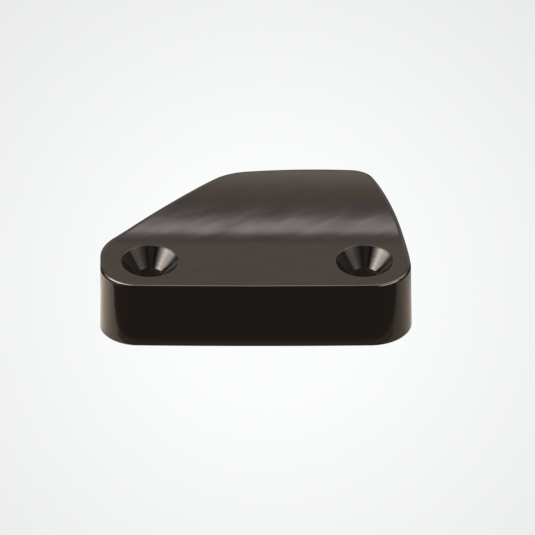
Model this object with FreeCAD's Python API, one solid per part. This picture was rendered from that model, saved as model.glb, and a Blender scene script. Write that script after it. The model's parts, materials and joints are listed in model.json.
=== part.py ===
# A side-entry jam cleat for 6 to 10 mm rope: one block of aluminium alloy with two countersunk
# screw holes in a plain flange, and a ribbed V groove that holds the rope.
#
# All sizes are in millimetres. The origin is midway between the screw holes, on the base
# plane. +Z points up off the deck and +X runs along the line of the screw holes. The plain
# flange faces -Y and the rope groove opens towards +Y.

import FreeCAD, Part
import math
import os

Vector = FreeCAD.Vector

# Screw holes, for countersunk M6 screws
HOLE_SPACING = 52.0
HOLE_RADIUS = 3.25
SINK_RADIUS = 6.95
SINK_HALF_ANGLE = 42.0
SINK_EDGE_RADIUS = 0.3
HOLE_EXIT_CHAMFER = 0.4

# Outline of the base, seen from above, measured from the origin
FRONT_Y = -12.0
FRONT_CROWN_RADIUS = 1450.0
LEFT_X = -38.3
RIGHT_X = 38.05
RIGHT_SIDE_RADIUS = 125.0
BACK_Y = 40.72
BACK_CROWN_X = 14.0
BACK_CROWN_RADIUS = 110.0
LEFT_CUT_ANGLE = 45.0
LEFT_CUT_Y = 7.75
CORNER_RADII = {
    "front_left": 9.6,
    "front_right": 10.2,
    "back_right": 6.6,
    "back_left": 14.0,
    "left": 11.8,
}
DRAFT_ANGLE = 1.0

# Top surface, seen along X: a flat flange, then a low hump over the groove
FLANGE_HEIGHT = 16.9
FLANGE_DEPTH = 19.05
HUMP_SLOPE = 7.5
HUMP_FOOT_RADIUS = 51.0
HUMP_FRONT_RADIUS = 127.0
HUMP_BACK_RADIUS = 60.0
HUMP_BACK_SLOPE = 10.5

# Rope groove: a V between two jaws, with a round root
GROOVE_HEIGHT = 8.9
GROOVE_HALF_ANGLE = 10.5
GROOVE_ROOT_Y = 18.0
GROOVE_ROOT_RADIUS = 2.0
LIP_RADIUS = 1.5

# Gripping ribs on both jaws, which run deeper into the V towards -X
RIB_PITCH = 5.0
RIB_ANGLE = 45.0
RIB_HEIGHT = 1.2
RIB_BASE_WIDTH = 2.7
RIB_CREST_WIDTH = 0.9
RIB_EMBED = 0.5
RIB_END_INSET = 2.4

# Rounded edges. The top surface rolls over gently to a tilt and then breaks to the wall.
TOP_ROLL_RADIUS = 1.75
TOP_ROLL_TILT = 38.5
TOP_EDGE_RADIUS = 0.15
BASE_EDGE_RADIUS = 0.3

# How far the shapes that trim the block run past it
OVERRUN = 60.0


def cylinder(radius, x, y):
    """A tall upright cylinder about the point x, y."""
    return Part.makeCylinder(radius, 2 * OVERRUN, Vector(x, y, -OVERRUN))


def outline_prism(inset):
    """The tall prism of the outline, with sharp corners, moved in by inset on every side."""
    depth = BACK_Y - FRONT_Y
    prism = Part.makeBox(
        RIGHT_X - LEFT_X + OVERRUN, depth + OVERRUN, 2 * OVERRUN,
        Vector(LEFT_X + inset, FRONT_Y - OVERRUN / 2, -OVERRUN),
    )
    middle_x = (LEFT_X + RIGHT_X) / 2
    bounds = [
        (FRONT_CROWN_RADIUS, middle_x, FRONT_Y + FRONT_CROWN_RADIUS),
        (RIGHT_SIDE_RADIUS, RIGHT_X - RIGHT_SIDE_RADIUS, FRONT_Y),
        (BACK_CROWN_RADIUS, BACK_CROWN_X, BACK_Y - BACK_CROWN_RADIUS),
    ]
    for radius, x, y in bounds:
        prism = prism.common(cylinder(radius - inset, x, y))
    wedge = Part.makeBox(
        4 * OVERRUN, 2 * OVERRUN, 2 * OVERRUN, Vector(-2 * OVERRUN, -inset, -OVERRUN)
    )
    wedge.rotate(Vector(), Vector(0, 0, 1), LEFT_CUT_ANGLE)
    wedge.translate(Vector(LEFT_X, LEFT_CUT_Y, 0))
    return prism.cut(wedge)


def upright_edges(shape):
    """The edges of shape that run along Z."""
    found = []
    for edge in shape.Edges:
        start, end = edge.Vertexes[0].Point, edge.Vertexes[-1].Point
        if abs(start.x - end.x) < 0.01 and abs(start.y - end.y) < 0.01:
            found.append(edge)
    return found


def corner_name(x, y):
    """Which corner of the outline a point is at."""
    if y > (FRONT_Y + BACK_Y) / 2:
        return "back_left" if x < BACK_CROWN_X else "back_right"
    if y > 0:
        return "left"
    return "front_left" if x < 0 else "front_right"


def rounded_prism(inset):
    """The outline prism with its corners rounded."""
    prism = outline_prism(inset)
    for name, radius in CORNER_RADII.items():
        corner = [
            edge for edge in upright_edges(prism)
            if corner_name(edge.CenterOfMass.x, edge.CenterOfMass.y) == name
            and is_sharp(prism, edge)
        ]
        prism = prism.makeFillet(radius - inset, corner)
    return prism


def lean(height):
    """How far the walls lean in by a height."""
    return height * math.tan(math.radians(DRAFT_ANGLE))


def outline_wire(height):
    """The outline's wire at a height, moved in as far as the walls lean in by there."""
    prism = rounded_prism(lean(height))
    lowest = min(prism.Faces, key=lambda face: face.CenterOfMass.z)
    wire = lowest.OuterWire
    wire.translate(Vector(0, 0, height + OVERRUN))
    return wire


def is_sharp(shape, edge):
    """Whether the two faces that meet at edge turn by more than five degrees."""
    faces = shape.ancestorsOfType(edge, Part.Face)
    if len(faces) != 2:
        return False
    point = edge.CenterOfMass
    normals = [face.normalAt(*face.Surface.parameter(point)) for face in faces]
    return math.degrees(normals[0].getAngle(normals[1])) > 5.0


def arc_onwards(start, heading, radius, turn):
    """An arc from start in the YZ plane, heading at an angle above +Y and turning by an angle.

    A positive turn bends upwards. Returns the edge, its end and the heading there.
    """
    side = math.copysign(1.0, turn)

    def point(angle):
        across = math.radians(angle + side * 90.0)
        centre_across = math.radians(heading + side * 90.0)
        centre_y = start.y + radius * math.cos(centre_across)
        centre_z = start.z + radius * math.sin(centre_across)
        return Vector(0, centre_y - radius * math.cos(across), centre_z - radius * math.sin(across))

    end = point(heading + turn)
    edge = Part.Arc(start, point(heading + turn / 2), end).toShape()
    return edge, end, heading + turn


def top_profile():
    """The solid under the top surface, as one section along X."""
    front_low = Vector(0, FRONT_Y - OVERRUN / 2, 0)
    front_high = Vector(0, FRONT_Y - OVERRUN / 2, FLANGE_HEIGHT)
    point = Vector(0, FRONT_Y + FLANGE_DEPTH, FLANGE_HEIGHT)
    edges = [
        Part.LineSegment(front_low, front_high).toShape(),
        Part.LineSegment(front_high, point).toShape(),
    ]
    heading = 0.0
    for radius, turn in (
        (HUMP_FOOT_RADIUS, HUMP_SLOPE),
        (HUMP_FRONT_RADIUS, -HUMP_SLOPE),
        (HUMP_BACK_RADIUS, -HUMP_BACK_SLOPE),
    ):
        edge, point, heading = arc_onwards(point, heading, radius, turn)
        edges.append(edge)
    back_low = Vector(0, point.y, 0)
    edges.append(Part.LineSegment(point, back_low).toShape())
    edges.append(Part.LineSegment(back_low, front_low).toShape())
    face = Part.Face(Part.Wire(edges))
    face.translate(Vector(-OVERRUN, 0, 0))
    return face.extrude(Vector(2 * OVERRUN, 0, 0))


def groove_half_height(y):
    """Half the height of the groove between its flat flanks at y."""
    slope = math.radians(GROOVE_HALF_ANGLE)
    return GROOVE_ROOT_RADIUS / math.cos(slope) + (y - GROOVE_ROOT_Y) * math.tan(slope)


def groove_cut():
    """What is cut away between the jaws."""
    slope = math.radians(GROOVE_HALF_ANGLE)
    tangent_y = GROOVE_ROOT_Y - GROOVE_ROOT_RADIUS * math.sin(slope)
    tangent_z = GROOVE_ROOT_RADIUS * math.cos(slope)
    mouth_y = BACK_Y + OVERRUN
    mouth_z = groove_half_height(mouth_y)
    upper_root = Vector(0, tangent_y, GROOVE_HEIGHT + tangent_z)
    lower_root = Vector(0, tangent_y, GROOVE_HEIGHT - tangent_z)
    root_end = Vector(0, GROOVE_ROOT_Y - GROOVE_ROOT_RADIUS, GROOVE_HEIGHT)
    upper_mouth = Vector(0, mouth_y, GROOVE_HEIGHT + mouth_z)
    lower_mouth = Vector(0, mouth_y, GROOVE_HEIGHT - mouth_z)
    face = Part.Face(Part.Wire([
        Part.Arc(upper_root, root_end, lower_root).toShape(),
        Part.LineSegment(lower_root, lower_mouth).toShape(),
        Part.LineSegment(lower_mouth, upper_mouth).toShape(),
        Part.LineSegment(upper_mouth, upper_root).toShape(),
    ]))
    face.translate(Vector(-OVERRUN, 0, 0))
    return face.extrude(Vector(2 * OVERRUN, 0, 0))


def rib(jaw, middle_x):
    """One gripping rib on the upper (jaw = 1) or lower (jaw = -1) flank."""
    slope = math.radians(GROOVE_HALF_ANGLE)
    angle = math.radians(RIB_ANGLE)
    outwards = Vector(0, math.cos(slope), jaw * math.sin(slope))
    into_groove = Vector(0, math.sin(slope), -jaw * math.cos(slope))
    along_x = Vector(1, 0, 0)
    along_rib = along_x * math.cos(angle) + outwards * math.sin(angle)
    across_rib = outwards * math.cos(angle) - along_x * math.sin(angle)
    middle_y = (GROOVE_ROOT_Y + BACK_Y) / 2
    centre = Vector(middle_x, middle_y, GROOVE_HEIGHT + jaw * groove_half_height(middle_y))

    def corner(across, height):
        return centre + across_rib * across + into_groove * height - along_rib * OVERRUN / 2

    half_base = RIB_BASE_WIDTH / 2
    half_crest = RIB_CREST_WIDTH / 2
    flank_slope = (half_base - half_crest) / RIB_HEIGHT
    half_foot = half_base + RIB_EMBED * flank_slope
    shoulder = RIB_HEIGHT - half_crest / 2
    left_foot = corner(-half_foot, -RIB_EMBED)
    right_foot = corner(half_foot, -RIB_EMBED)
    left_crest = corner(-half_crest, shoulder)
    right_crest = corner(half_crest, shoulder)
    face = Part.Face(Part.Wire([
        Part.LineSegment(left_foot, left_crest).toShape(),
        Part.Arc(left_crest, corner(0, RIB_HEIGHT), right_crest).toShape(),
        Part.LineSegment(right_crest, right_foot).toShape(),
        Part.LineSegment(right_foot, left_foot).toShape(),
    ]))
    return face.extrude(along_rib * OVERRUN)


def ribs():
    """All the ribs, trimmed to stop short of the groove's rounded edges."""
    zone = rounded_prism(RIB_END_INSET)
    behind_root = Part.makeBox(
        2 * OVERRUN, OVERRUN, 2 * OVERRUN,
        Vector(-OVERRUN, GROOVE_ROOT_Y - GROOVE_ROOT_RADIUS, -OVERRUN),
    )
    zone = zone.common(behind_root)
    count = int(OVERRUN / RIB_PITCH)
    trimmed = []
    for jaw in (1, -1):
        for number in range(-count, count + 1):
            piece = rib(jaw, number * RIB_PITCH).common(zone)
            if piece.Volume > 1.0:
                trimmed.extend(piece.Solids)
    return trimmed


def screw_hole(x):
    """The through hole and its countersink."""
    sink_depth = (SINK_RADIUS - HOLE_RADIUS) / math.tan(math.radians(SINK_HALF_ANGLE))
    sink_foot = FLANGE_HEIGHT - sink_depth
    section = [
        Vector(0, 0, -1.0),
        Vector(HOLE_RADIUS + HOLE_EXIT_CHAMFER + 1.0, 0, -1.0),
        Vector(HOLE_RADIUS, 0, HOLE_EXIT_CHAMFER),
        Vector(HOLE_RADIUS, 0, sink_foot),
        Vector(SINK_RADIUS, 0, FLANGE_HEIGHT),
        Vector(SINK_RADIUS, 0, FLANGE_HEIGHT + 1.0),
        Vector(0, 0, FLANGE_HEIGHT + 1.0),
    ]
    face = Part.Face(Part.makePolygon(section + section[:1]))
    cut = face.revolve(Vector(), Vector(0, 0, 1), 360)
    cut.translate(Vector(x, 0, 0))
    return cut


def edges_of_outline(shape, low, high):
    """The edges round the outline whose height is between low and high."""
    found = []
    for edge in shape.Edges:
        box = edge.BoundBox
        if low < box.ZMin and box.ZMax < high and is_sharp(shape, edge):
            found.append(edge)
    return found


def cleat_body():
    """The whole cleat."""
    drafted = Part.makeLoft([outline_wire(0.0), outline_wire(OVERRUN / 2)], True, True)
    overhang = TOP_ROLL_RADIUS * (1.0 - math.sin(math.radians(TOP_ROLL_TILT)))
    rolled = rounded_prism(lean(FLANGE_HEIGHT) - overhang).common(top_profile())
    rolled = rolled.makeFillet(TOP_ROLL_RADIUS, edges_of_outline(rolled, FLANGE_HEIGHT - 0.5, OVERRUN))
    block = drafted.common(rolled)
    block = block.makeFillet(TOP_EDGE_RADIUS, edges_of_outline(block, FLANGE_HEIGHT - 0.5, OVERRUN))
    block = block.makeFillet(BASE_EDGE_RADIUS, edges_of_outline(block, -0.5, 0.5))
    block = block.cut(groove_cut())
    lip_edges = edges_of_outline(block, 2.0, FLANGE_HEIGHT - 1.0)
    block = block.makeFillet(LIP_RADIUS, lip_edges)
    block = block.fuse(ribs())
    for x in (-HOLE_SPACING / 2, HOLE_SPACING / 2):
        block = block.cut(screw_hole(x))
    rims = [
        edge for edge in edges_of_outline(block, FLANGE_HEIGHT - 0.1, FLANGE_HEIGHT + 0.1)
        if abs(edge.Length - 2 * math.pi * SINK_RADIUS) < 0.5
    ]
    block = block.makeFillet(SINK_EDGE_RADIUS, rims)
    return block.Solids[0]


def main():
    os.makedirs("parts", exist_ok=True)
    body = cleat_body()
    print("valid", body.isValid(), "volume", round(body.Volume), "faces", len(body.Faces))
    body.exportStep("parts/cleat_body.step")


main()
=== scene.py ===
"""A gloss black side-entry jam cleat on a pale studio floor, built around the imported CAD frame.

The CAD node is one faceted solid. This script replaces it with the same solid meshed from its
formulas: every outside edge and rope lip is a true rolling-ball round, every rib is blended
into its jaw, and every corner of every face carries the exact surface normal, so that the
studio's reflections run smoothly over it. Lengths are in millimetres until the mesh is made.
"""

import json
import math

import bpy
import numpy as np
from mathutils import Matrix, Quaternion, Vector
from mathutils.geometry import delaunay_2d_cdt


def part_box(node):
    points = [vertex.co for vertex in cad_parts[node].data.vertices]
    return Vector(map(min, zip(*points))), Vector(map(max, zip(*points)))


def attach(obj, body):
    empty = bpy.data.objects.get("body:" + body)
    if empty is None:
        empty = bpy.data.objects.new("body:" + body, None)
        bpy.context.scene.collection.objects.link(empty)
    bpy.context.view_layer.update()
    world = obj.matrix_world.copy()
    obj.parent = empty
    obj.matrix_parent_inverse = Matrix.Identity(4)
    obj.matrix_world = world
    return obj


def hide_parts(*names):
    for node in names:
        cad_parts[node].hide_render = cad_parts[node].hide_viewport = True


NODE = "cleat_body"
MM = 0.001

# The base outline's shape. Its box and the screw holes' places come from the frame.
FRONT_CROWN_RADIUS = 1450.0
RIGHT_SIDE_RADIUS = 125.0
RIGHT_CORNER_OVERHANG = 0.48
BACK_CROWN_X = 14.0
BACK_CROWN_RADIUS = 110.0
LEFT_CUT_ANGLE = 45.0
LEFT_CUT_Y = 7.75
FRONT_LEFT_RADIUS = 9.6
FRONT_RIGHT_RADIUS = 10.2
BACK_RIGHT_RADIUS = 6.6
BACK_LEFT_RADIUS = 14.0
LEFT_CORNER_RADIUS = 11.8
DRAFT = math.radians(1.0)

# Top surface, seen along X
FLANGE_HEIGHT = 16.9
FLANGE_DEPTH = 19.05
HUMP_SLOPE = math.radians(7.5)
HUMP_FOOT_RADIUS = 51.0
HUMP_FRONT_RADIUS = 127.0
HUMP_BACK_RADIUS = 60.0

# Groove, ribs and edges
GROOVE_HEIGHT = 8.9
GROOVE_SLOPE = math.radians(10.5)
GROOVE_ROOT_Y = 18.0
GROOVE_ROOT_RADIUS = 2.0
LIP_RADIUS = 1.5
TOP_ROLL_RADIUS = 1.75
TOP_ROLL_TILT = math.radians(38.5)
TOP_EDGE_RADIUS = 0.15
BASE_EDGE_RADIUS = 0.3
RIB_PITCH = 5.0
RIB_ANGLE = math.radians(45.0)
RIB_HEIGHT = 1.2
RIB_HALF_BASE = 1.35
RIB_HALF_CREST = 0.4
RIB_FADE_FROM_EDGE = (2.0, 3.3)
RIB_FADE_FROM_ROOT = (0.3, 2.6)

# Countersinks
SINK_RADIUS = 6.95
SINK_HALF_ANGLE = math.radians(42.0)
SINK_EDGE_RADIUS = 0.3
HOLE_EXIT_CHAMFER = 0.4

UP = np.array([0.0, 0.0, 1.0])

# Numbers of the two outline pieces that the groove runs out through
RIGHT_SIDE = 2
LEFT_CUT = 6


# ---------------------------------------------------------------- plan outline

class Arc:
    """Part of a circle, run through anticlockwise by the angle of its outward normal."""

    def __init__(self, centre, radius, start, end):
        self.centre, self.radius, self.start = np.array(centre), radius, start
        self.turn = end - start
        self.length = radius * self.turn

    def at(self, distance):
        angle = self.start + distance / self.radius
        normal = np.array([math.cos(angle), math.sin(angle)])
        return self.centre + self.radius * normal, normal


class Line:
    """A straight run of the outline."""

    def __init__(self, start, end):
        self.start = np.array(start)
        run = np.array(end) - self.start
        self.length = float(np.linalg.norm(run))
        self.heading = run / self.length
        self.normal = np.array([self.heading[1], -self.heading[0]])
        self.turn = 0.0

    def at(self, distance):
        return self.start + distance * self.heading, self.normal


class Circle:
    """A side of the outline that is part of a circle, before its corners are rounded."""

    def __init__(self, centre, radius):
        self.centre, self.radius = np.array(centre), radius

    def depth(self, points):
        """How far inside this side each point is, and the direction further in."""
        inwards = self.centre - points
        distance = np.linalg.norm(inwards, axis=-1, keepdims=True)
        return self.radius - distance[..., 0], inwards / distance


class Straight:
    """A straight side of the outline, before its corners are rounded."""

    def __init__(self, point, normal):
        self.point, self.normal = np.array(point), np.array(normal)

    def depth(self, points):
        """How far inside this side each point is, and the direction further in."""
        return (self.point - points) @ self.normal, -self.normal


def corner_centre(first, second, radius, guess):
    """The centre of the round between two sides: the point that is a radius inside both."""
    centre = np.array(guess, float)
    for _ in range(20):
        depths, directions = zip(first.depth(centre), second.depth(centre))
        shortfall = radius - np.array(depths)
        centre = centre + np.linalg.solve(np.array(directions), shortfall)
    return centre


class Outline:
    """The rounded outline seen from above, by distance along it from the middle of the front."""

    def __init__(self, low, high):
        middle_x = (low[0] + high[0] + RIGHT_CORNER_OVERHANG) / 2
        right_x = high[0] + RIGHT_CORNER_OVERHANG
        cut = math.radians(90.0 + LEFT_CUT_ANGLE)
        front = Circle((middle_x, low[1] + FRONT_CROWN_RADIUS), FRONT_CROWN_RADIUS)
        right = Circle((right_x - RIGHT_SIDE_RADIUS, low[1]), RIGHT_SIDE_RADIUS)
        back = Circle((BACK_CROWN_X, high[1] - BACK_CROWN_RADIUS), BACK_CROWN_RADIUS)
        left_cut = Straight((low[0], LEFT_CUT_Y), (math.cos(cut), math.sin(cut)))
        left = Straight((low[0], 0.0), (-1.0, 0.0))
        corners = [
            (front, right, FRONT_RIGHT_RADIUS, (high[0], low[1])),
            (right, back, BACK_RIGHT_RADIUS, (high[0] - 10.0, high[1])),
            (back, left_cut, BACK_LEFT_RADIUS, (0.0, high[1])),
            (left_cut, left, LEFT_CORNER_RADIUS, (low[0], LEFT_CUT_Y)),
            (left, front, FRONT_LEFT_RADIUS, (low[0], low[1])),
        ]
        self.rounds = []
        for first, second, radius, near in corners:
            centre = corner_centre(first, second, radius, near)
            start = normal_angle(first, centre)
            end = normal_angle(second, centre)
            self.rounds.append(Arc(centre, radius, start, end if end > start else end + math.tau))
        self.sides = [front, right, back, left_cut, left]
        self.pieces = self.lay_out()
        self.length = sum(piece.length for piece in self.pieces)

    def lay_out(self):
        """The arcs and lines in order, anticlockwise from the middle of the front."""
        front_middle = -math.pi / 2
        pieces = []
        for number, corner in enumerate(self.rounds):
            side = self.sides[number]
            previous = self.rounds[number - 1]
            if isinstance(side, Circle):
                start = previous.start + previous.turn if number else front_middle
                pieces.append(Arc(side.centre, side.radius, start, corner.start))
            else:
                start = previous.at(previous.length)[0]
                pieces.append(Line(start, corner.at(0.0)[0]))
            pieces.append(corner)
        last = self.rounds[-1]
        last_end = last.start + last.turn - math.tau
        pieces.append(Arc(self.sides[0].centre, self.sides[0].radius, last_end, front_middle))
        return pieces

    def span(self, number):
        """Where one of the pieces starts and ends along the outline."""
        start = sum(piece.length for piece in self.pieces[:number])
        return start, start + self.pieces[number].length

    def at(self, distance):
        """The point and outward normal at a distance along the outline."""
        for piece in self.pieces:
            if distance <= piece.length:
                return piece.at(distance)
            distance -= piece.length
        return self.pieces[-1].at(self.pieces[-1].length)

    def inset(self, distance, depth):
        """The point at a depth inside the outline, and the outward normal there."""
        point, normal = self.at(distance)
        return point - depth * normal, normal

    def find_y(self, y, depth, low, high):
        """The distance between low and high at which the outline inset by depth is at y."""
        rising = self.inset(high, depth)[0][1] > self.inset(low, depth)[0][1]
        for _ in range(60):
            middle = (low + high) / 2
            if (self.inset(middle, depth)[0][1] < y) == rising:
                low = middle
            else:
                high = middle
        return (low + high) / 2

    def depth(self, points):
        """How far inside the rounded outline each point is."""
        depth = np.min([side.depth(points)[0] for side in self.sides], axis=0)
        for corner in self.rounds:
            away = points - corner.centre
            angle = (np.arctan2(away[..., 1], away[..., 0]) - corner.start) % math.tau
            rounded = corner.radius - np.linalg.norm(away, axis=-1)
            depth = np.where(angle < corner.turn, np.minimum(depth, rounded), depth)
        return depth

    def samples(self, longest, widest):
        """Distances along the outline, no further apart than longest nor turning by more than widest."""
        found, start = [], 0.0
        for piece in self.pieces:
            count = max(1, math.ceil(piece.length / longest), math.ceil(piece.turn / widest))
            found += [start + piece.length * step / count for step in range(count)]
            start += piece.length
        return found


def normal_angle(side, point):
    """The angle of a side's outward normal at the place nearest to a point."""
    inwards = side.depth(point)[1]
    return math.atan2(-inwards[1], -inwards[0])


# ---------------------------------------------------------------- surfaces by formula

class Shape:
    """The cleat's surfaces."""

    def __init__(self, low, high):
        self.outline = Outline(low, high)
        self.foot_start = low[1] + FLANGE_DEPTH
        self.foot_end = self.foot_start + HUMP_FOOT_RADIUS * math.sin(HUMP_SLOPE)
        self.crest_y = self.foot_end + HUMP_FRONT_RADIUS * math.sin(HUMP_SLOPE)
        rise = (HUMP_FOOT_RADIUS + HUMP_FRONT_RADIUS) * (1.0 - math.cos(HUMP_SLOPE))
        self.crest_height = FLANGE_HEIGHT + rise
        self.root_line_y = GROOVE_ROOT_Y - GROOVE_ROOT_RADIUS * math.sin(GROOVE_SLOPE)

    def top(self, y, sunk=0.0):
        """Height and unit normal of the top surface, or of its parallel sunk below it."""
        if y <= self.foot_start:
            return FLANGE_HEIGHT - sunk, UP
        foot_radius = HUMP_FOOT_RADIUS + sunk
        if y < self.foot_start + foot_radius * math.sin(HUMP_SLOPE):
            slope = math.asin((y - self.foot_start) / foot_radius)
            height = FLANGE_HEIGHT + HUMP_FOOT_RADIUS - foot_radius * math.cos(slope)
        else:
            full = HUMP_FRONT_RADIUS if y < self.crest_y else HUMP_BACK_RADIUS
            slope = -math.asin((y - self.crest_y) / (full - sunk))
            height = self.crest_height - full + (full - sunk) * math.cos(slope)
        return height, np.array([0.0, -math.sin(slope), math.cos(slope)])

    def flank_gap(self, y, sunk=0.0):
        """Half the groove's height at y, or of its parallel sunk into the jaws."""
        radius = GROOVE_ROOT_RADIUS + sunk
        return radius / math.cos(GROOVE_SLOPE) + (y - GROOVE_ROOT_Y) * math.tan(GROOVE_SLOPE)

    def rib_height(self, x, y):
        """How far the ribs stand out of a jaw's flank."""
        across = (y - GROOVE_ROOT_Y) * math.cos(RIB_ANGLE) - x * math.sin(RIB_ANGLE)
        spacing = RIB_PITCH * math.sin(RIB_ANGLE)
        offset = np.abs((across + spacing / 2) % spacing - spacing / 2)
        flank = (RIB_HALF_BASE - offset) / (RIB_HALF_BASE - RIB_HALF_CREST)
        flank = np.clip(flank, 0.0, 1.0)
        profile = 0.6 * flank + 0.4 * smooth(flank)
        edge = self.outline.depth(np.stack([x, y], axis=-1))
        fade = ramp(edge, *RIB_FADE_FROM_EDGE) * ramp(y - self.root_line_y, *RIB_FADE_FROM_ROOT)
        return RIB_HEIGHT * profile * fade

    def flank(self, jaw, x, y):
        """Height of the upper (jaw = 1) or lower (jaw = -1) ribbed flank."""
        rib = self.rib_height(x, y) / math.cos(GROOVE_SLOPE)
        return GROOVE_HEIGHT + jaw * (self.flank_gap(y) - rib)

    def flank_normal(self, jaw, x, y):
        """Unit normals of a ribbed flank, pointing into the groove."""
        step = 0.03
        slope_x = (self.flank(jaw, x + step, y) - self.flank(jaw, x - step, y)) / (2 * step)
        slope_y = (self.flank(jaw, x, y + step) - self.flank(jaw, x, y - step)) / (2 * step)
        normals = -jaw * np.stack([-slope_x, -slope_y, np.ones_like(x)], axis=-1)
        return normals / np.linalg.norm(normals, axis=-1, keepdims=True)


def lean(height):
    """How far the side walls lean in by a height."""
    return height * math.tan(DRAFT)


def smooth(t):
    return t * t * (3.0 - 2.0 * t)


def ramp(value, start, end):
    """Rises smoothly from 0 at start to 1 at end."""
    return smooth(np.clip((value - start) / (end - start), 0.0, 1.0))


def between(first, second, share):
    """The unit vector a share of the way round from first to second."""
    angle = math.acos(min(max(float(np.dot(first, second)), -1.0), 1.0))
    if angle < 1e-6:
        return first
    return (math.sin((1 - share) * angle) * first + math.sin(share * angle) * second) / math.sin(angle)


# ---------------------------------------------------------------- mesh building

class Skin:
    """A closed mesh whose faces carry an exact normal at each corner."""

    def __init__(self):
        self.points, self.numbers = [], {}
        self.faces, self.normals, self.materials = [], [], []

    def number(self, point):
        """The number of a point, which is the same for places that meet."""
        x, y, z = map(float, point)
        key = round(x, 4), round(y, 4), round(z, 4)
        if key not in self.numbers:
            self.numbers[key] = len(self.points)
            self.points.append((x, y, z))
        return self.numbers[key]

    def face(self, corners, material):
        """Adds a face from (point, normal) corners, turned to face along its normals."""
        face, normals = [], []
        for point, normal in corners:
            number = self.number(point)
            if number not in face:
                face.append(number)
                normals.append(normal)
        if len(face) < 3:
            return
        if not self.agrees(face, normals):
            face.reverse()
            normals.reverse()
        self.faces.append(face)
        self.normals.append(normals)
        self.materials.append(material)

    def agrees(self, face, normals):
        """Whether a face's winding faces the same way as its normals."""
        a, b, c = (self.points[number] for number in (face[0], face[1], face[-1]))
        ux, uy, uz = b[0] - a[0], b[1] - a[1], b[2] - a[2]
        vx, vy, vz = c[0] - a[0], c[1] - a[1], c[2] - a[2]
        nx, ny, nz = map(float, normals[0])
        return (uy * vz - uz * vy) * nx + (uz * vx - ux * vz) * ny + (ux * vy - uy * vx) * nz > 0.0

    def band(self, rows, material, closed=False):
        """Faces between rows of (point, normal) that have the same number of corners."""
        for row, following in zip(rows, rows[1:]):
            count = len(row)
            for i in range(count if closed else count - 1):
                j = (i + 1) % count
                self.face([row[i], row[j], following[j], following[i]], material)

    def make(self, name):
        mesh = bpy.data.meshes.new(name)
        mesh.from_pydata((np.array(self.points) * MM).tolist(), [], self.faces)
        mesh.polygons.foreach_set("use_smooth", [True] * len(self.faces))
        mesh.polygons.foreach_set("material_index", self.materials)
        mesh.normals_split_custom_set([tuple(n) for face in self.normals for n in face])
        mesh.update()
        piece = bpy.data.objects.new(name, mesh)
        bpy.context.scene.collection.objects.link(piece)
        return piece


def triangles(loops, inside_points):
    """Delaunay triangles between the first loop and the others, which are holes in it.

    Returns the corner points and the triangles as triples of their numbers.
    """
    corners, edges = [], []
    for loop in loops:
        first = len(corners)
        corners += [tuple(point) for point in loop]
        edges += [(first + i, first + (i + 1) % len(loop)) for i in range(len(loop))]
    corners += [tuple(point) for point in inside_points]
    found = delaunay_2d_cdt(corners, edges, [], 1, 1e-7)
    sources = found[3]
    kept = []
    for face in found[2]:
        numbers = [min(sources[vertex]) for vertex in face]
        middle = [sum(corners[number][axis] for number in numbers) / 3 for axis in (0, 1)]
        if not any(is_inside(loop, middle) for loop in loops[1:]):
            kept.append(numbers)
    return corners, kept


def is_inside(loop, point):
    """Whether a point is inside a closed loop of points, by counting crossings."""
    x, y = np.array(loop).T
    next_x, next_y = np.roll(x, -1), np.roll(y, -1)
    spans = (y > point[1]) != (next_y > point[1])
    with np.errstate(divide="ignore", invalid="ignore"):
        crossing = x + (point[1] - y) / (next_y - y) * (next_x - x)
    return bool(np.count_nonzero(spans & (point[0] < crossing)) % 2)


# ---------------------------------------------------------------- the cleat, patch by patch

GLOSS, TURNED, BORED, MACHINED, GROOVED = range(5)
ROLL_STEPS = 10
EDGE_STEPS = 5
LIP_STEPS = 8
LONGEST_STEP = 0.8
WIDEST_TURN = math.radians(3.0)
ROOT_COLUMNS = 100
ROOT_TURNS = 16
HOLE_SECTORS = 96


def flat_vector(vector, z=0.0):
    return np.array([vector[0], vector[1], z])


def wall_normal(normal):
    """The side wall's unit normal, from the outline's."""
    return flat_vector(np.array(normal) * math.cos(DRAFT), math.sin(DRAFT))


def ball_by_wall(shape, distance, radius, height):
    """The centre of a ball that touches the side wall from inside, and the wall's normal."""
    ball, normal = shape.outline.inset(distance, ball_depth(radius, height))
    return flat_vector(ball, height), wall_normal(normal)


def ball_depth(radius, height):
    """How far inside the outline a ball's centre is when it touches the side wall."""
    return lean(height) + radius / math.cos(DRAFT)


TOP_ROLL_DEPTH = lean(FLANGE_HEIGHT) + TOP_ROLL_RADIUS * math.sin(TOP_ROLL_TILT)


def top_rim(shape, distance):
    """Corners from the side wall over its small round and up the rolled edge to the top surface."""
    reach = TOP_ROLL_RADIUS - TOP_EDGE_RADIUS
    roll, _ = shape.outline.inset(distance, TOP_ROLL_DEPTH)
    roll_height, surface = shape.top(roll[1], TOP_ROLL_RADIUS)
    height = roll_height + reach
    for _ in range(5):
        ball, wall = ball_by_wall(shape, distance, TOP_EDGE_RADIUS, height)
        height = roll_height + math.sqrt(reach ** 2 - np.sum((ball[:2] - roll) ** 2))
    ball = flat_vector(ball, height)
    roll = flat_vector(roll, roll_height)
    tilted = (ball - roll) / np.linalg.norm(ball - roll)
    edge = rounded_corners(ball, wall, tilted, TOP_EDGE_RADIUS, EDGE_STEPS)
    return edge + rounded_corners(roll, tilted, surface, TOP_ROLL_RADIUS, ROLL_STEPS)[1:]


def base_rim(shape, distance):
    """Corners of the rounded bottom edge, from the side wall down to the base."""
    ball, wall = ball_by_wall(shape, distance, BASE_EDGE_RADIUS, BASE_EDGE_RADIUS)
    return rounded_corners(ball, wall, -UP, BASE_EDGE_RADIUS, EDGE_STEPS)


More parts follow.
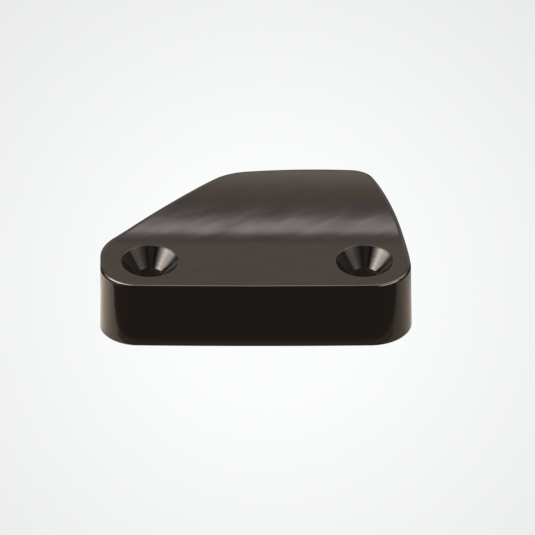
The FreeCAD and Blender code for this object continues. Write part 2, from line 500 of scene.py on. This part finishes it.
def rounded_corners(ball, first, last, radius, steps):
    """Corners along a round between two surfaces whose normals are first and last."""
    normals = [between(first, last, step / steps) for step in range(steps + 1)]
    return [(ball + radius * normal, normal) for normal in normals]


def jaw_lip(shape, jaw, distance):
    """Corners of a jaw's rope lip, from the side wall to the flank."""
    height = GROOVE_HEIGHT
    for _ in range(5):
        ball, wall = ball_by_wall(shape, distance, LIP_RADIUS, height)
        height = GROOVE_HEIGHT + jaw * shape.flank_gap(ball[1], LIP_RADIUS)
    flank = np.array([0.0, math.sin(GROOVE_SLOPE), -jaw * math.cos(GROOVE_SLOPE)])
    return rounded_corners(flat_vector(ball, height), wall, flank, LIP_RADIUS, LIP_STEPS)


class Opening:
    """Where the groove breaks out through the side wall, as a loop of lip sections."""

    def __init__(self, shape, samples):
        self.shape = shape
        outline = shape.outline
        self.limits = [outline.span(RIGHT_SIDE), outline.span(LEFT_CUT)]
        self.upper_samples, self.upper = self.jaw(1, samples)
        self.lower_samples, self.lower = self.jaw(-1, samples)
        turn = math.pi - 2 * GROOVE_SLOPE
        first = math.pi / 2 + GROOVE_SLOPE
        self.root_angles = [first + turn * step / ROOT_TURNS for step in range(ROOT_TURNS + 1)]
        self.roots = []
        for side, jaw_end in ((0, 0), (1, -1)):
            found = [self.root_lip(angle, side) for angle in self.root_angles[1:-1]]
            found.insert(0, (self.upper_samples[jaw_end], self.upper[jaw_end]))
            found.append((self.lower_samples[jaw_end], self.lower[jaw_end]))
            self.roots.append(found)

    def jaw(self, jaw, samples):
        """A jaw's lip sections, from the right side to the left cut, and where they are."""
        radius = GROOVE_ROOT_RADIUS + LIP_RADIUS
        y = GROOVE_ROOT_Y - radius * math.sin(GROOVE_SLOPE)
        height = GROOVE_HEIGHT + jaw * radius * math.cos(GROOVE_SLOPE)
        start, end = [self.shape.outline.find_y(y, ball_depth(LIP_RADIUS, height), *limits)
                      for limits in self.limits]
        margin = 0.1
        within = [s for s in samples if start + margin < s < end - margin]
        distances = [start] + within + [end]
        return distances, [jaw_lip(self.shape, jaw, s) for s in distances]

    def root_lip(self, angle, side):
        """Where on the outline, and the lip section, at an angle round the groove's root."""
        radius = GROOVE_ROOT_RADIUS + LIP_RADIUS
        y = GROOVE_ROOT_Y + radius * math.cos(angle)
        height = GROOVE_HEIGHT + radius * math.sin(angle)
        outline = self.shape.outline
        distance = outline.find_y(y, ball_depth(LIP_RADIUS, height), *self.limits[side])
        ball, wall = ball_by_wall(self.shape, distance, LIP_RADIUS, height)
        flank = np.array([0.0, -math.cos(angle), -math.sin(angle)])
        return distance, rounded_corners(ball, wall, flank, LIP_RADIUS, LIP_STEPS)

    def loop(self):
        """Every lip section in order round the opening, with its distance along the outline."""
        right, left = self.roots
        upper = list(zip(self.upper_samples, self.upper))
        lower = list(zip(self.lower_samples, self.lower))
        return upper[:-1] + left[:-1] + lower[::-1][:-1] + right[::-1][:-1]


def add_rims_and_walls(skin, shape, samples, opening):
    """The rounded top and bottom edges and the side wall between them."""
    loop_samples = samples + [shape.outline.length]
    skin.band([top_rim(shape, s) for s in loop_samples], GLOSS)
    skin.band([base_rim(shape, s) for s in loop_samples], GLOSS)
    lips = opening.loop()
    sections = [section for _, section in lips]
    skin.band(sections + sections[:1], GLOSS)
    tops = [top_rim(shape, s)[0][0][2] for s in loop_samples]
    foot = base_rim(shape, 0.0)[0][0][2]
    seam_rows = np.linspace(foot, tops[0], 12)
    border = [(s, foot) for s in loop_samples]
    border += [(shape.outline.length, z) for z in seam_rows[1:-1]]
    border += [(s, z) for s, z in zip(loop_samples[::-1], tops[::-1])]
    border += [(0.0, z) for z in seam_rows[-2:0:-1]]
    window = [(s, section[0][0][2]) for s, section in lips]
    clear = 0.7
    fillers = []
    for s, height in zip(samples[1:], tops[1:]):
        for z in np.arange(foot + clear, height - clear, 1.6):
            if not near_opening(opening, s, z, clear):
                fillers.append((s, z))
    corners, found = triangles([border, window], fillers)
    for face in found:
        skin.face([wall_corner(shape, *corners[number]) for number in face], GLOSS)


def wall_corner(shape, distance, height):
    point, normal = shape.outline.inset(distance, lean(height))
    return flat_vector(point, height), wall_normal(normal)


def near_opening(opening, distance, height, clear):
    """Whether a place on the side wall is in the groove's opening or close to its edge."""
    ball = opening.shape.outline.inset(distance, ball_depth(LIP_RADIUS, height))[0]
    radius = GROOVE_ROOT_RADIUS + LIP_RADIUS
    if ball[1] < GROOVE_ROOT_Y:
        away = math.hypot(ball[1] - GROOVE_ROOT_Y, height - GROOVE_HEIGHT)
        return away < radius + clear
    gap = opening.shape.flank_gap(ball[1], LIP_RADIUS)
    return abs(height - GROOVE_HEIGHT) < gap + clear


def hole_circle(x, radius):
    """Evenly spaced points round a screw hole."""
    angles = [math.tau * step / HOLE_SECTORS for step in range(HOLE_SECTORS)]
    return [(x + radius * math.cos(angle), radius * math.sin(angle)) for angle in angles]


def sink_edge_ring():
    """The radius at which the countersink's rounded edge meets the flat flange."""
    turn = math.pi / 2 - SINK_HALF_ANGLE
    return SINK_RADIUS + SINK_EDGE_RADIUS * math.tan(turn / 2)


def grid(columns, rows):
    """Every point at one of the columns and one of the rows."""
    return np.stack(np.meshgrid(columns, rows), axis=-1).reshape(-1, 2)


def add_top(skin, shape, samples, hole_places):
    """The top surface: the flat flange and the hump, round the two countersinks."""
    border = [top_rim(shape, s)[-1][0][:2] for s in samples]
    rings = [hole_circle(x, sink_edge_ring()) for x in hole_places]
    low, high = np.min(border, axis=0), np.max(border, axis=0)
    flat_rows = np.arange(low[1], shape.foot_start, 1.5)
    hump_rows = np.arange(shape.foot_start, high[1], 0.7)
    fillers = grid(np.arange(low[0], high[0], 1.5), np.concatenate([flat_rows, hump_rows]))
    keep = shape.outline.depth(fillers) > TOP_ROLL_DEPTH + 0.45
    for hole in hole_places:
        keep &= np.linalg.norm(fillers - [hole, 0.0], axis=-1) > sink_edge_ring() + 0.5
    corners, found = triangles([border] + rings, fillers[keep])
    placed = []
    for x, y in corners:
        height, normal = shape.top(y)
        placed.append((np.array([x, y, height]), normal))
    for face in found:
        skin.face([placed[number] for number in face], GLOSS)


def add_base(skin, shape, samples, hole_places, hole_radius):
    """The flat underside."""
    border = [base_rim(shape, s)[-1][0][:2] for s in samples]
    rings = [hole_circle(x, hole_radius + HOLE_EXIT_CHAMFER) for x in hole_places]
    corners, found = triangles([border] + rings, [])
    for face in found:
        skin.face([(flat_vector(corners[number]), -UP) for number in face], MACHINED)


def add_screw_hole(skin, x, hole_radius):
    """The countersink, the bore and the chamfer where it comes out of the base."""
    cone = np.array([-math.cos(SINK_HALF_ANGLE), math.sin(SINK_HALF_ANGLE)])
    ball = np.array([sink_edge_ring(), FLANGE_HEIGHT - SINK_EDGE_RADIUS])
    edge = []
    for step in range(EDGE_STEPS + 1):
        angle = math.pi / 2 + (math.pi / 2 - SINK_HALF_ANGLE) * step / EDGE_STEPS
        normal = np.array([math.cos(angle), math.sin(angle)])
        edge.append((ball + SINK_EDGE_RADIUS * normal, normal))
    foot = np.array([hole_radius,
                     FLANGE_HEIGHT - (SINK_RADIUS - hole_radius) / math.tan(SINK_HALF_ANGLE)])
    rim = edge[-1][0]
    sink = [(rim + (foot - rim) * step / 6, cone) for step in range(7)]
    inwards = np.array([-1.0, 0.0])
    bore = [(np.array([hole_radius, z]), inwards)
            for z in np.linspace(foot[1], HOLE_EXIT_CHAMFER, 7)]
    exit_normal = np.array([-1.0, -1.0]) / math.sqrt(2.0)
    leave = [(np.array([hole_radius, HOLE_EXIT_CHAMFER]), exit_normal),
             (np.array([hole_radius + HOLE_EXIT_CHAMFER, 0.0]), exit_normal)]
    for profile, material in ((edge, GLOSS), (sink, TURNED), (bore, BORED), (leave, BORED)):
        rows = [spun_row(x, place, normal) for place, normal in profile]
        skin.band(rows, material, closed=True)


def spun_row(x, place, normal):
    """A ring of corners: one place and normal of a section spun round a screw hole."""
    row = []
    for step in range(HOLE_SECTORS):
        angle = math.tau * step / HOLE_SECTORS
        c, s = math.cos(angle), math.sin(angle)
        row.append((np.array([x + place[0] * c, place[0] * s, place[1]]),
                    np.array([normal[0] * c, normal[0] * s, normal[1]])))
    return row


def add_root(skin, opening):
    """The round bottom of the groove, from one side wall to the other."""
    rows = []
    for angle, (_, right), (_, left) in zip(opening.root_angles, *opening.roots):
        normal = np.array([0.0, -math.cos(angle), -math.sin(angle)])
        start, end = right[-1][0], left[-1][0]
        rows.append([(start + (end - start) * step / ROOT_COLUMNS, normal)
                     for step in range(ROOT_COLUMNS + 1)])
    skin.band(rows, GROOVED)


def rib_rows(shape, border):
    """Points over a flank, in rows along the ribs, close together where a rib's section bends."""
    along = np.array([math.cos(RIB_ANGLE), math.sin(RIB_ANGLE)])
    across = np.array([-math.sin(RIB_ANGLE), math.cos(RIB_ANGLE)])
    spacing = RIB_PITCH * math.sin(RIB_ANGLE)
    offsets = [0.0, RIB_HALF_CREST / 2]
    offsets += list(np.linspace(RIB_HALF_CREST, RIB_HALF_BASE, 6))
    offsets = sorted(offsets + [-offset for offset in offsets[1:]] + [spacing / 2])
    reach = 1.5 * (np.max(border, axis=0) - np.min(border, axis=0)).max()
    count = int(reach / spacing)
    rows = [number * spacing + offset for number in range(-count, count + 1) for offset in offsets]
    steps = grid(np.arange(-reach, reach, 0.55), np.array(rows))
    points = [0.0, GROOVE_ROOT_Y] + steps @ np.array([along, across])
    keep = points[:, 1] > shape.root_line_y + 0.35
    keep &= shape.outline.depth(points) > ball_depth(LIP_RADIUS, FLANGE_HEIGHT) + 0.25
    return points[keep]


def add_flank(skin, shape, opening, jaw):
    """One jaw's ribbed flank."""
    sections = opening.upper if jaw == 1 else opening.lower
    border = [section[-1][0] for section in sections]
    right, left = border[0], border[-1]
    border += [left + (right - left) * step / ROOT_COLUMNS for step in range(1, ROOT_COLUMNS)]
    flat_border = [point[:2] for point in border]
    corners, found = triangles([flat_border], rib_rows(shape, flat_border))
    flat = np.array([0.0, math.sin(GROOVE_SLOPE), -jaw * math.cos(GROOVE_SLOPE)])
    x, y = np.array(corners[len(border):]).T
    points = np.stack([x, y, shape.flank(jaw, x, y)], axis=-1)
    placed = [(point, flat) for point in border] + list(zip(points, shape.flank_normal(jaw, x, y)))
    for face in found:
        skin.face([placed[number] for number in face], GROOVED)


def hole_pattern(frame):
    """The record's dimensions for the two screw holes."""
    return next(m for m in frame["record"]["mounts"] if m["name"] == "screw_holes")["dims"]


def cleat(frame):
    """The whole cleat as one closed mesh, standing for the CAD body."""
    low, high = (corner / MM for corner in map(np.array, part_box(NODE)))
    hole_radius = hole_pattern(frame)["hole_r_mm"]
    reach = hole_pattern(frame)["spacing_x_mm"] / 2
    hole_places = (-reach, reach)
    shape = Shape(low, high)
    samples = shape.outline.samples(LONGEST_STEP, WIDEST_TURN)
    opening = Opening(shape, samples)
    skin = Skin()
    add_rims_and_walls(skin, shape, samples, opening)
    add_top(skin, shape, samples, hole_places)
    add_base(skin, shape, samples, hole_places, hole_radius)
    for x in hole_places:
        add_screw_hole(skin, x, hole_radius)
    add_root(skin, opening)
    for jaw in (1, -1):
        add_flank(skin, shape, opening, jaw)
    return skin.make("cleat")


# ---------------------------------------------------------------- materials

BLACK = (0.00678, 0.0052, 0.00452, 1.0)
SINK_BLACK = (0.0115, 0.0098, 0.009, 1.0)
# Painted light: the bore's colour is far lighter than the black anodising, standing in for stray light
# seen down the hole.
BORE_BLACK_WITH_PAINTED_LIGHT = (0.085, 0.074, 0.066, 1.0)
WARM_GLOSS = (1.0, 0.86, 0.76, 1.0)
GLOSS_IOR = 1.5
TURNED_IOR = 1.8
TURNED_ROUGHNESS = 0.12

# In metres and radians: where the hump's foot lies along Y, and how its polishing marks slant
HUMP_FOOT = (0.008, 0.026)
MARKS_TURN = -0.95
MARKS_STRETCH = 2.4


class Nodes:
    """A material's node tree, with short ways to add nodes."""

    def __init__(self, name):
        self.material = bpy.data.materials.new(name)
        self.material.use_nodes = True
        self.tree = self.material.node_tree
        self.shader = self.tree.nodes["Principled BSDF"]

    def add(self, kind, inputs=None, **settings):
        node = self.tree.nodes.new(kind)
        for key, value in settings.items():
            setattr(node, key, value)
        for key, value in (inputs or {}).items():
            if isinstance(value, bpy.types.NodeSocket):
                self.tree.links.new(value, node.inputs[key])
            else:
                node.inputs[key].default_value = value
        return node

    def link(self, output, key):
        self.tree.links.new(output, self.shader.inputs[key])

    def noise(self, scale, detail=3.0, vector=None):
        inputs = {"Scale": scale, "Detail": detail}
        if vector is not None:
            inputs["Vector"] = vector
        return self.add("ShaderNodeTexNoise", inputs).outputs["Fac"]

    def place(self):
        return self.add("ShaderNodeTexCoord").outputs["Object"]

    def math(self, operation, first, second=0.0):
        return self.add("ShaderNodeMath", {0: first, 1: second}, operation=operation).outputs[0]

    def spread(self, value, low, high):
        """Maps a value from 0..1 to low..high."""
        return self.add("ShaderNodeMapRange", {"Value": value, "To Min": low, "To Max": high}).outputs[0]

    def reach(self, value, span, ends):
        """Runs from one end value to the other as value crosses its span."""
        return self.add("ShaderNodeMapRange", {"Value": value, "From Min": span[0], "From Max": span[1],
                                               "To Min": ends[0], "To Max": ends[1]}).outputs[0]

    def curve(self, value, stops):
        """Reads a value off a smooth curve through (position, height) stops."""
        ramp = self.add("ShaderNodeValToRGB", {"Fac": value})
        ramp.color_ramp.interpolation = "LINEAR"
        elements = ramp.color_ramp.elements
        while len(elements) < len(stops):
            elements.new(0.5)
        for element, (position, height) in zip(elements, stops):
            element.position = position
            element.color = (height, height, height, 1.0)
        return ramp.outputs["Color"]

    def bump(self, height, distance, strength=1.0, after=None):
        inputs = {"Height": height, "Distance": distance, "Strength": strength}
        if after is not None:
            inputs["Normal"] = after
        return self.add("ShaderNodeBump", inputs).outputs["Normal"]


class Glow(Nodes):
    """A material that only gives out light."""

    def __init__(self, name, colour):
        super().__init__(name)
        self.tree.nodes.remove(self.shader)
        self.shader = self.add("ShaderNodeEmission", {"Color": (*colour, 1.0)})
        output = self.tree.nodes["Material Output"]
        self.tree.links.new(self.shader.outputs[0], output.inputs["Surface"])

    def shine(self, level, strength):
        """Sets the brightness: a level over the surface, times a strength."""
        if level is None:
            self.shader.inputs["Strength"].default_value = strength
        else:
            self.link(self.math("MULTIPLY", level, strength), "Strength")


def anodised(name):
    """Gloss black anodised alloy, before its surface marks are added."""
    nodes = Nodes(name)
    nodes.shader.inputs["Base Color"].default_value = BLACK
    nodes.shader.inputs["Specular Tint"].default_value = WARM_GLOSS
    nodes.shader.inputs["IOR"].default_value = GLOSS_IOR
    return nodes


def gloss_material():
    """The polished outside, which gleams unevenly at the foot of the hump."""
    nodes = anodised("anodised_gloss")
    place = nodes.place()
    grain = nodes.noise(2600.0, 2.0, place)
    slanted = nodes.add("ShaderNodeMapping", {"Vector": place, "Rotation": (0.0, 0.0, MARKS_TURN),
                                              "Scale": (1.0, MARKS_STRETCH, 1.0)},
                        vector_type="TEXTURE").outputs[0]
    ripple = nodes.noise(230.0, 1.0, slanted)
    fine = nodes.bump(grain, 0.000002)
    nodes.link(nodes.bump(ripple, 0.00005, 1.0, fine), "Normal")
    along = nodes.add("ShaderNodeSeparateXYZ", {"Vector": place}).outputs["Y"]
    worked = nodes.curve(nodes.reach(along, HUMP_FOOT, (0.0, 1.0)),
                         [(0.0, 0.05), (0.2, 0.42), (0.65, 0.42), (1.0, 0.05)])
    uneven = nodes.math("MULTIPLY", nodes.math("SUBTRACT", ripple, 0.52), worked)
    nodes.link(nodes.math("ADD", uneven, 0.49), "Specular IOR Level")
    nodes.link(nodes.spread(nodes.noise(60.0, 4.0, place), 0.06, 0.11), "Roughness")
    return nodes.material


def turned_material(name, colour, hole_reach):
    """A countersink or a bore, with the rings that the cutter leaves round each hole."""
    nodes = anodised(name)
    nodes.shader.inputs["Base Color"].default_value = colour
    nodes.shader.inputs["IOR"].default_value = TURNED_IOR
    nodes.shader.inputs["Roughness"].default_value = TURNED_ROUGHNESS
    split = nodes.add("ShaderNodeSeparateXYZ", {"Vector": nodes.place()})
    from_hole = nodes.math("SUBTRACT", nodes.math("ABSOLUTE", split.outputs["X"]), hole_reach)
    x_squared = nodes.math("POWER", from_hole, 2.0)
    y_squared = nodes.math("POWER", split.outputs["Y"], 2.0)
    radius = nodes.math("SQRT", nodes.math("ADD", x_squared, y_squared))
    along_wall = nodes.math("ADD", radius, split.outputs["Z"])
    rings = nodes.add("ShaderNodeCombineXYZ", {"X": along_wall})
    uneven = nodes.add("ShaderNodeTexNoise", {"Vector": rings.outputs[0], "Scale": 1900.0,
                                              "Detail": 2.0}).outputs["Fac"]
    nodes.link(nodes.bump(uneven, 0.00001), "Normal")
    nodes.link(nodes.spread(uneven, 0.1, 0.9), "Specular IOR Level")
    return nodes.material


def machined_material():
    """The flat underside, with the arcs that a face cutter leaves."""
    nodes = anodised("anodised_machined")
    place = nodes.place()
    centre = nodes.add("ShaderNodeVectorMath", {0: place, 1: (0.0, -0.085, 0.0)},
                       operation="SUBTRACT").outputs[0]
    arcs = nodes.add("ShaderNodeTexWave", {"Vector": centre, "Scale": 420.0, "Distortion": 0.6,
                                           "Detail": 2.0, "Detail Scale": 1.5},
                     wave_type="RINGS", rings_direction="Z")
    nodes.link(nodes.bump(arcs.outputs["Fac"], 0.00001), "Normal")
    nodes.link(nodes.spread(nodes.noise(300.0, 4.0, place), 0.24, 0.38), "Roughness")
    return nodes.material


def grooved_material():
    """The jaws, a little duller where the cutter and the anodising leave them."""
    nodes = anodised("anodised_grooved")
    place = nodes.place()
    nodes.link(nodes.bump(nodes.noise(1500.0, 3.0, place), 0.000012), "Normal")
    nodes.link(nodes.spread(nodes.noise(220.0, 4.0, place), 0.2, 0.32), "Roughness")
    return nodes.material


# ---------------------------------------------------------------- studio

CAMERA_TARGET = Vector((0.00251, 0.00689, 0.01060))
CAMERA_DISTANCE = 5.0
CAMERA_ELEVATION = 33.0
VIEW_WIDTH = 0.12990
SENSOR_WIDTH = 36.0

CARD_DISTANCE = 3.0
WARM = (1.0, 0.89, 0.8)
NEUTRAL = (0.98, 1.0, 0.985)
ROSY = (1.0, 0.94, 0.99)

# A card's brightness at shares of its width or height
EVEN = [(0.0, 0.0), (0.1, 1.0), (0.9, 1.0), (1.0, 0.0)]
SOFT = [(0.0, 0.0), (0.2, 1.0), (0.8, 1.0), (1.0, 0.0)]
NARROW = [(0.0, 0.0), (0.25, 1.0), (0.75, 1.0), (1.0, 0.0)]
BACK_UPWARDS = [(0.0, 0.1), (0.3, 0.3), (0.45, 0.8), (0.5, 0.83), (0.574, 0.78), (0.648, 0.79),
                (0.724, 0.74), (0.743, 0.70), (0.803, 0.64), (0.864, 0.62), (1.0, 0.62)]
OVERHEAD_UPWARDS = [(0.0, 0.165), (0.123, 0.2), (0.186, 0.26), (0.25, 0.4), (0.308, 0.63),
                    (0.396, 0.77), (0.5, 0.93), (0.58, 1.0), (0.83, 1.0), (0.92, 0.4), (1.0, 0.0)]
LEFT_ACROSS = [(0.0, 0.05), (0.106, 0.17), (0.224, 0.45), (0.324, 0.58), (0.412, 0.68), (0.494, 1.0),
               (0.576, 0.93), (0.659, 0.42), (0.747, 0.16), (0.841, 0.0), (1.0, 0.0)]
RIGHT_ACROSS = [(0.0, 0.0), (0.118, 0.05), (0.255, 0.25), (0.39, 0.46), (0.518, 0.75), (0.655, 1.0),
                (0.8, 0.75), (0.9, 0.7), (0.93, 1.0), (0.96, 1.0), (1.0, 0.0)]


def direction(azimuth, elevation):
    """The unit vector towards a place in the studio: azimuth 0 is +Y and 90 is +X."""
    a, e = math.radians(azimuth), math.radians(elevation)
    return Vector((math.sin(a) * math.cos(e), math.cos(a) * math.cos(e), math.sin(e)))


def aim(obj, target):
    """Turns a camera or a card to face target."""
    obj.rotation_mode = "QUATERNION"
    obj.rotation_quaternion = (Vector(target) - obj.location).to_track_quat("-Z", "Y")


def add_camera():
    """A long lens, looking down at the front of the cleat."""
    data = bpy.data.cameras.new("camera")
    data.sensor_width = SENSOR_WIDTH
    data.lens = SENSOR_WIDTH * CAMERA_DISTANCE / VIEW_WIDTH
    data.clip_end = 100.0
    camera = bpy.data.objects.new("camera", data)
    bpy.context.scene.collection.objects.link(camera)
    camera.location = CAMERA_TARGET + CAMERA_DISTANCE * direction(180.0, CAMERA_ELEVATION)
    aim(camera, CAMERA_TARGET)
    bpy.context.scene.camera = camera


def sheet(name, size):
    """A flat rectangle, standing in the studio but not part of the object."""
    mesh = bpy.data.meshes.new(name)
    x, y = size[0] / 2, size[1] / 2
    mesh.from_pydata([(-x, -y, 0), (x, -y, 0), (x, y, 0), (-x, y, 0)], [], [(0, 1, 2, 3)])
    obj = bpy.data.objects.new(name, mesh)
    bpy.context.scene.collection.objects.link(obj)
    return obj


def card(name, colour, place, size, strength, across, upwards, roll=0.0):
    """A glowing card that faces the cleat, which lights it and shows in its gloss.

    place is its azimuth and elevation, and size its width and height as shares of its
    distance. across and upwards give its brightness at shares of its width and of its height,
    and roll turns it about the line to the cleat, in degrees.
    """
    obj = sheet(name, (size[0] * CARD_DISTANCE, size[1] * CARD_DISTANCE))
    obj.location = CARD_DISTANCE * direction(*place)
    aim(obj, (0.0, 0.0, 0.0))
    obj.rotation_quaternion = obj.rotation_quaternion @ Quaternion(UP, math.radians(roll))
    obj.visible_camera = False
    obj.visible_shadow = False
    nodes = Glow(name, colour)
    where = nodes.add("ShaderNodeTexCoord").outputs["Generated"]
    split = nodes.add("ShaderNodeSeparateXYZ", {"Vector": where})
    level = nodes.math("MULTIPLY", nodes.curve(split.outputs["X"], across),
                       nodes.curve(split.outputs["Y"], upwards))
    nodes.shine(level, strength)
    obj.data.materials.append(nodes.material)
    return obj


def add_floor():
    """A pale floor that gives out its own light, so that it stays even near the cleat, with a painted
    falloff of light that leaves it a little greyer far out.
    """
    floor = sheet("floor", (12.0, 12.0))
    floor.location.z = -0.00005
    nodes = Glow("floor", (0.99, 1.0, 0.998))
    where = nodes.add("ShaderNodeTexCoord").outputs["Object"]
    middle = nodes.add("ShaderNodeVectorMath", {0: where, 1: (0.0024, 0.0131, 0.0)},
                       operation="SUBTRACT").outputs[0]
    seen = nodes.add("ShaderNodeVectorMath", {0: middle, 1: (1.0, 0.545, 0.0)},
                     operation="MULTIPLY").outputs[0]
    away = nodes.add("ShaderNodeVectorMath", {0: seen}, operation="LENGTH").outputs["Value"]
    level = nodes.add("ShaderNodeMapRange", {"Value": away, "From Min": 0.027, "From Max": 0.11,
                                             "To Min": 0.973, "To Max": 0.8}).outputs[0]
    nodes.shine(level, 1.0)
    floor.data.materials.append(nodes.material)


def add_backdrop():
    """A pale wall all round, beyond the cards, for views from near the floor."""
    rim = [Vector((8.0 * math.cos(a), 8.0 * math.sin(a), 0.0))
           for a in (math.tau * step / 64 for step in range(64))]
    mesh = bpy.data.meshes.new("backdrop")
    top = [point + Vector((0.0, 0.0, 6.0)) for point in rim]
    faces = [(i, (i + 1) % 64, 64 + (i + 1) % 64, 64 + i) for i in range(64)]
    mesh.from_pydata(rim + top, [], faces)
    obj = bpy.data.objects.new("backdrop", mesh)
    bpy.context.scene.collection.objects.link(obj)
    obj.visible_glossy = False
    obj.visible_diffuse = False
    obj.visible_shadow = False
    nodes = Glow("backdrop", (1.0, 1.0, 1.0))
    nodes.shine(None, 0.8)
    mesh.materials.append(nodes.material)


def add_painted_table_reflection():
    """What the cleat's gloss shows of the table round it: a painted reflection on a glowing sheet that
    only the gloss sees.

    It is painted bright on the left, where the main light falls, less so on the right, and dim behind.
    In front a painted shadow of the cleat lies dim close to it, and painted darkness stands for the dark
    room beyond.
    """
    obj = sheet("painted_table_reflection", (12.0, 12.0))
    obj.location.z = -0.00002
    obj.visible_camera = False
    obj.visible_diffuse = False
    obj.visible_shadow = False
    nodes = Glow("painted_table_reflection", (1.0, 0.88, 0.76))
    where = nodes.add("ShaderNodeTexCoord").outputs["Object"]
    split = nodes.add("ShaderNodeSeparateXYZ", {"Vector": where})
    x, y = split.outputs["X"], split.outputs["Y"]
    # Painted light: brighter on the left, where the main light falls, and dimmer behind.
    sideways = nodes.reach(x, (-0.04, 0.04), (1.8, 0.9))
    lit = nodes.math("MULTIPLY", sideways, nodes.reach(y, (0.01, 0.03), (1.0, 0.1)))
    lit = nodes.math("MULTIPLY", lit, nodes.reach(y, (-0.012, -0.004), (0.75, 1.0)))
    # Painted shadow: in front of the cleat a dim band, darkest right at its foot, and the dark room
    # beyond it.
    strip = nodes.curve(nodes.reach(y, (-0.016, -0.012), (0.0, 1.0)),
                        [(0.0, 0.2), (0.175, 0.21), (0.3, 0.27), (0.425, 0.36), (0.54, 0.43),
                         (0.7, 0.47), (0.92, 0.5), (0.95, 0.12), (1.0, 0.1)])
    # Painted shade: between the front corners only the painted shadow shows, not the painted table
    # light.
    beside = nodes.math("MAXIMUM", nodes.reach(x, (-0.036, -0.039), (0.0, 1.0)),
                        nodes.reach(x, (0.036, 0.039), (0.0, 1.0)))
    behind = nodes.reach(y, (-0.0121, -0.0119), (0.0, 1.0))
    past_corner = nodes.math("MULTIPLY", beside, nodes.reach(y, (-0.0145, -0.0125), (0.0, 1.0)))
    clear = nodes.math("MAXIMUM", behind, past_corner)
    nodes.shine(nodes.math("MAXIMUM", nodes.math("MULTIPLY", lit, clear), strip), 1.0)
    obj.data.materials.append(nodes.material)


def add_studio():
    scene = bpy.context.scene
    scene.view_settings.view_transform = "Standard"
    world = bpy.data.worlds.new("room")
    world.use_nodes = True
    world.node_tree.nodes["Background"].inputs["Color"].default_value = (1.0, 0.95, 0.9, 1.0)
    world.node_tree.nodes["Background"].inputs["Strength"].default_value = 0.13
    scene.world = world
    card("back_card", WARM, (0.0, 20.0), (1.2, 0.95), 1.16, EVEN, BACK_UPWARDS)
    card("overhead_card", ROSY, (0.0, 50.0), (1.4, 0.42), 4.2, EVEN, OVERHEAD_UPWARDS)
    card("left_wing", NEUTRAL, (-30.0, 56.0), (0.5, 0.4), 13.0, SOFT, SOFT)
    card("right_wing", NEUTRAL, (52.0, 64.0), (0.3, 0.5), 9.0, SOFT, SOFT)
    card("left_card", NEUTRAL, (-99.0, 36.0), (1.9, 0.42), 6.4, LEFT_ACROSS, NARROW, roll=26.0)
    card("right_card", NEUTRAL, (125.0, 42.0), (1.1, 0.7), 0.9, RIGHT_ACROSS, EVEN)
    add_floor()
    add_painted_table_reflection()
    add_backdrop()


# ---------------------------------------------------------------- the scene

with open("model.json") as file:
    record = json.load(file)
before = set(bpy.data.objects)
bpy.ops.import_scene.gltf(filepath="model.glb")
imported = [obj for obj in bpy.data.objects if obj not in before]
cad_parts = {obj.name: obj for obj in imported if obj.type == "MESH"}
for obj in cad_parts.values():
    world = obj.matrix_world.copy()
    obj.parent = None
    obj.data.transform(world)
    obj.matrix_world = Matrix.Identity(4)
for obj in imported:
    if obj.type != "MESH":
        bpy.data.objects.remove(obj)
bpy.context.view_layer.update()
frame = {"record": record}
add_camera()

body = cleat(frame)
reach = hole_pattern(frame)["spacing_x_mm"] / 2 * MM
# The bore's material carries painted light in its lightened colour.
for material in (gloss_material(), turned_material("anodised_sink", SINK_BLACK, reach),
                 turned_material("anodised_bore_with_painted_light", BORE_BLACK_WITH_PAINTED_LIGHT, reach), machined_material(),
                 grooved_material()):
    body.data.materials.append(material)
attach(body, "root")
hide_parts(NODE)

add_studio()
